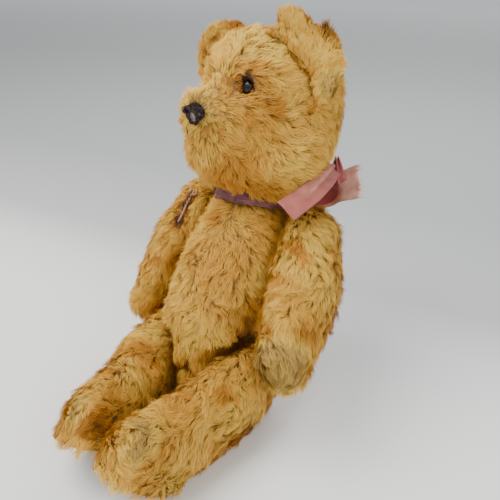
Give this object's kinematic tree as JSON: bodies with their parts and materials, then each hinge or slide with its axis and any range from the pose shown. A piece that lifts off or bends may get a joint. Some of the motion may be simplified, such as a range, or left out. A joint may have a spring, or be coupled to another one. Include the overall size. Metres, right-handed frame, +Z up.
{
  "type": "teddy bear",
  "caption": "Old jointed mohair teddy bear sitting with its legs out, its pile worn thin, a faded ribbon round its neck; head, arms and legs turn on hidden card discs.",
  "frame": {"origin": "middle of the flat patch under the seat that the bear sits on", "axes": "+Z up, the bear faces -Y, +X towards its own left side"},
  "size_m": [0.2235, 0.292, 0.3359],
  "materials": {
    "mohair": "matte long pile",
    "pad_cloth": "worn felt",
    "eye_glass": "glossy, near black",
    "embroidery": "thread",
    "ribbon_silk": "satin, creased",
    "card": "matte",
    "steel": "dull"
  },
  "bodies": {
    "torso": {"torso": "mohair", "neck_ribbon": "ribbon_silk", "neck_torso_disc": "card", "neck_torso_washer": "steel", "neck_pin": "steel", "shoulder_left_torso_disc": "card", "shoulder_left_torso_washer": "steel", "shoulder_left_pin": "steel", "shoulder_right_torso_disc": "card", "shoulder_right_torso_washer": "steel", "shoulder_right_pin": "steel", "hip_left_torso_disc": "card", "hip_left_torso_washer": "steel", "hip_left_pin": "steel", "hip_right_torso_disc": "card", "hip_right_torso_washer": "steel", "hip_right_pin": "steel"},
    "head": {"head": "mohair", "ear_left": "mohair", "ear_right": "mohair", "eye_left": "eye_glass", "eye_right": "eye_glass", "nose_stitching": "embroidery", "mouth_stitching": "embroidery", "neck_limb_disc": "card", "neck_limb_washer": "steel"},
    "arm_left": {"arm_left": "mohair", "paw_pad_left": "pad_cloth", "shoulder_left_limb_disc": "card", "shoulder_left_limb_washer": "steel"},
    "leg_left": {"leg_left": "mohair", "foot_pad_left": "pad_cloth", "hip_left_limb_disc": "card", "hip_left_limb_washer": "steel"},
    "arm_right": {"arm_right": "mohair", "paw_pad_right": "pad_cloth", "shoulder_right_limb_disc": "card", "shoulder_right_limb_washer": "steel"},
    "leg_right": {"leg_right": "mohair", "foot_pad_right": "pad_cloth", "hip_right_limb_disc": "card", "hip_right_limb_washer": "steel"}
  },
  "joints": [
    {"name": "neck_turn", "type": "hinge", "parent": "torso", "child": "head", "pos_m": [0, 0.05387, 0.18195], "axis": [0, 0.342, 0.9397], "range_deg": [-80, 35]},
    {"name": "shoulder_left_swing", "type": "hinge", "parent": "torso", "child": "arm_left", "pos_m": [0.043, 0.046, 0.14863], "axis": [0.9336, 0.1226, 0.3368], "range_deg": [-50, 105]},
    {"name": "shoulder_right_swing", "type": "hinge", "parent": "torso", "child": "arm_right", "pos_m": [-0.043, 0.046, 0.14863], "axis": [0.9781, -0.0711, -0.1954], "range_deg": [-80, 90]},
    {"name": "hip_left_swing", "type": "hinge", "parent": "torso", "child": "leg_left", "pos_m": [0.027, -0.00376, 0.04117], "axis": [0.9962, -0.0872, 0], "range_deg": [-5, 105]},
    {"name": "hip_right_swing", "type": "hinge", "parent": "torso", "child": "leg_right", "pos_m": [-0.027, -0.00376, 0.04117], "axis": [0.9455, 0.3256, 0], "range_deg": [-5, 105]}
  ]
}
